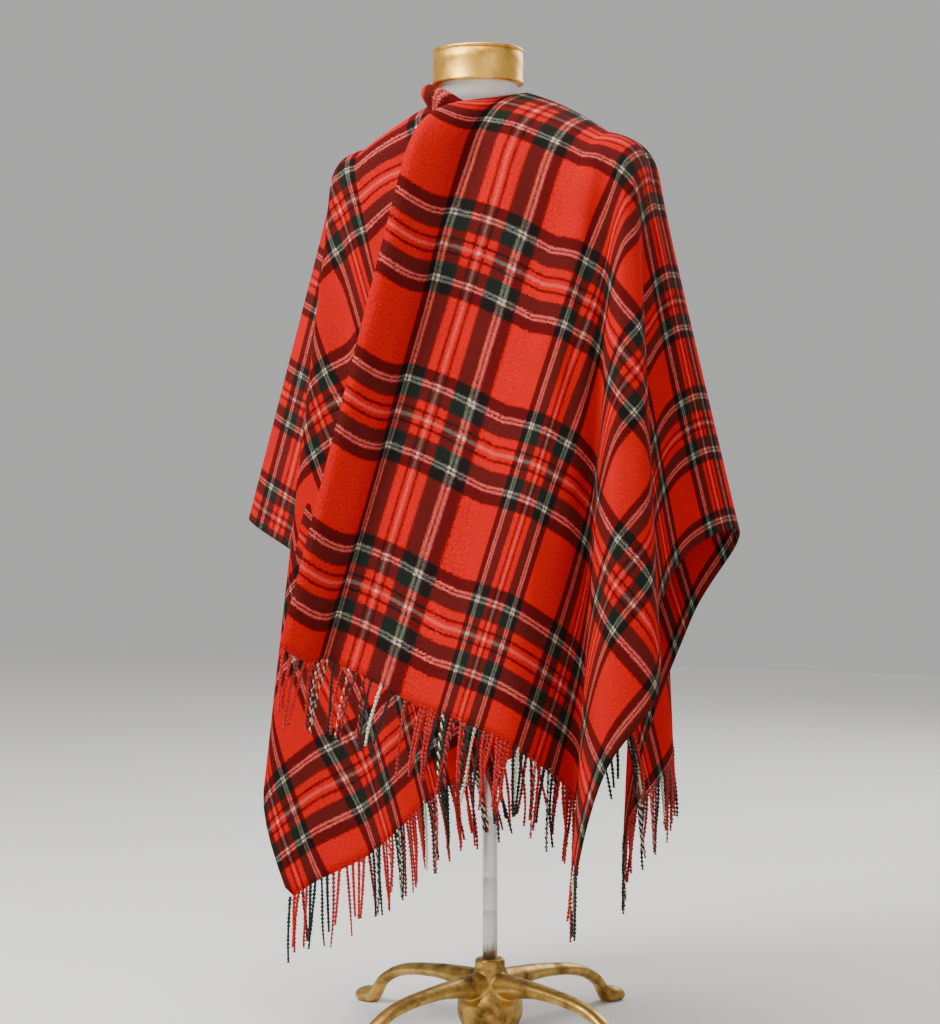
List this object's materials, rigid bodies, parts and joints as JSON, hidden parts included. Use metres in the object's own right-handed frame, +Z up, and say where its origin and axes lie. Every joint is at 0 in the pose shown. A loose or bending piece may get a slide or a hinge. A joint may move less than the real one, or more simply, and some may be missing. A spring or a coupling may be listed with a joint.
{
  "type": "serape resting on a limbless dress form with a stand",
  "caption": "Fringed tartan wool serape, slit at the front and worn open with the left front lapped over, resting on a limbless dress form on a legged stand.",
  "frame": {"origin": "on the floor under the stand's pole, at the centre of the base hub", "axes": "+Z up, the wearer's front faces -Y, the wearer's left is +X"},
  "size_m": [0.7547, 0.5794, 1.3663],
  "materials": {
    "wool_tartan": "brushed wool twill with nap, scarlet tartan",
    "fringe_yarn": "twisted wool yarn in the colours of the stripes",
    "form_cover": "plain off-white cotton jersey, stretched smooth",
    "neck_cap_brass": "spun brass, satin and a little worn",
    "pole_steel": "satin steel tube",
    "base_gilt_iron": "cast iron with worn gilt paint"
  },
  "bodies": {
    "root": {"left_front": "wool_tartan", "right_front": "wool_tartan", "back": "wool_tartan", "fringe_left": "fringe_yarn", "fringe_right": "fringe_yarn", "fringe_back": "fringe_yarn", "dress_form": "form_cover", "neck_cap": "neck_cap_brass", "pole": "pole_steel", "base": "base_gilt_iron"}
  },
  "joints": []
}
